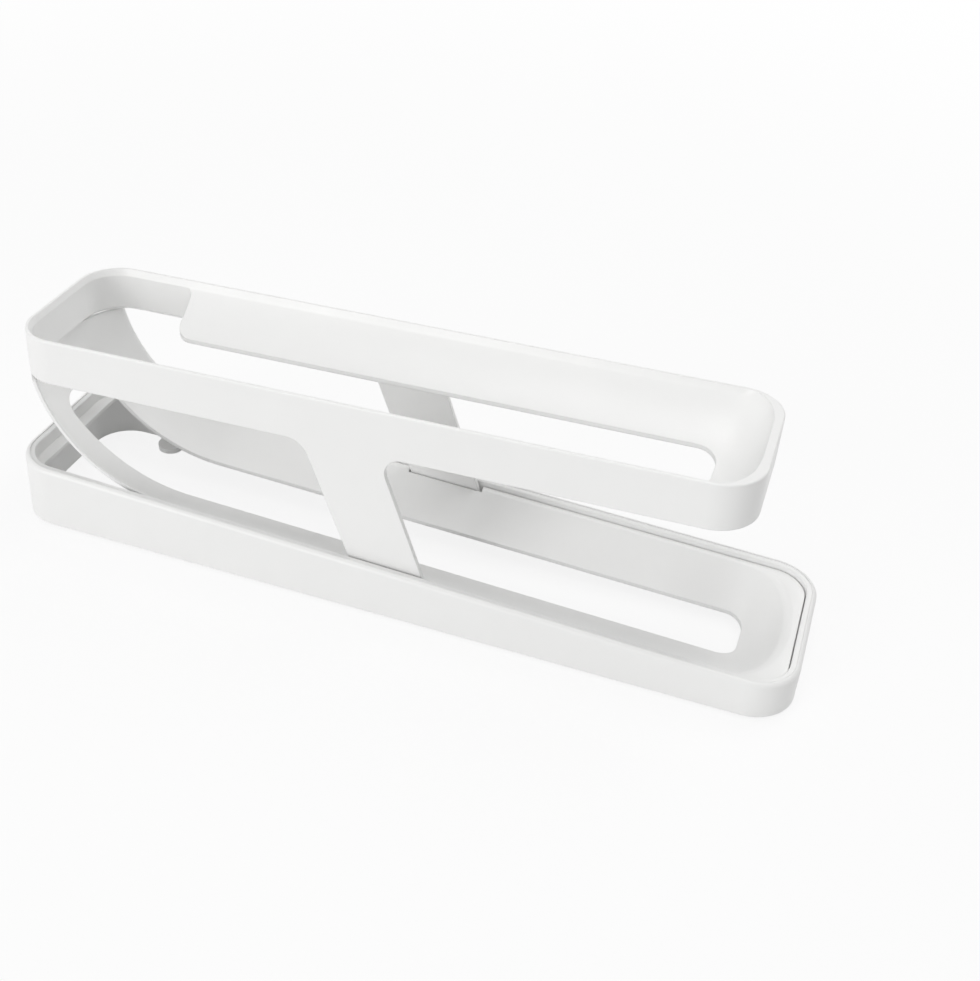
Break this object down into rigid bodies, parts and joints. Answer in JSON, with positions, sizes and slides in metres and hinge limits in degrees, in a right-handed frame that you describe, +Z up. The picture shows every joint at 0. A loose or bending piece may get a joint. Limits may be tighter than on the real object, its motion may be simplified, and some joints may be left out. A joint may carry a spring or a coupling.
{
  "type": "rolling egg dispenser",
  "caption": "Two-tier rolling egg dispenser: sloped slotted tray on slanted legs, with a rear drop hole over a curved ramp that ends in a bowl at the front.",
  "frame": {"origin": "under the middle of the base frame, on the surface that the pads stand on", "axes": "+X along the length towards the bowls where eggs are taken out, +Y across, +Z up"},
  "size_m": [0.375, 0.0906, 0.1101],
  "materials": {
    "white_plastic": "satin",
    "pad_silicone": "matte"
  },
  "bodies": {
    "base": {"base_frame": "white_plastic", "pad_front_left": "pad_silicone", "pad_front_right": "pad_silicone", "pad_rear_left": "pad_silicone", "pad_rear_right": "pad_silicone"},
    "ramp": {"lower_ramp": "white_plastic"},
    "tray": {"upper_tray": "white_plastic"}
  },
  "joints": [
    {"name": "ramp_lift", "type": "slide", "parent": "base", "child": "ramp", "axis": [0, 0, 1], "range_m": [0, 0.04]},
    {"name": "tray_lift", "type": "slide", "parent": "ramp", "child": "tray", "axis": [0, 0, 1], "range_m": [0, 0.08]}
  ]
}
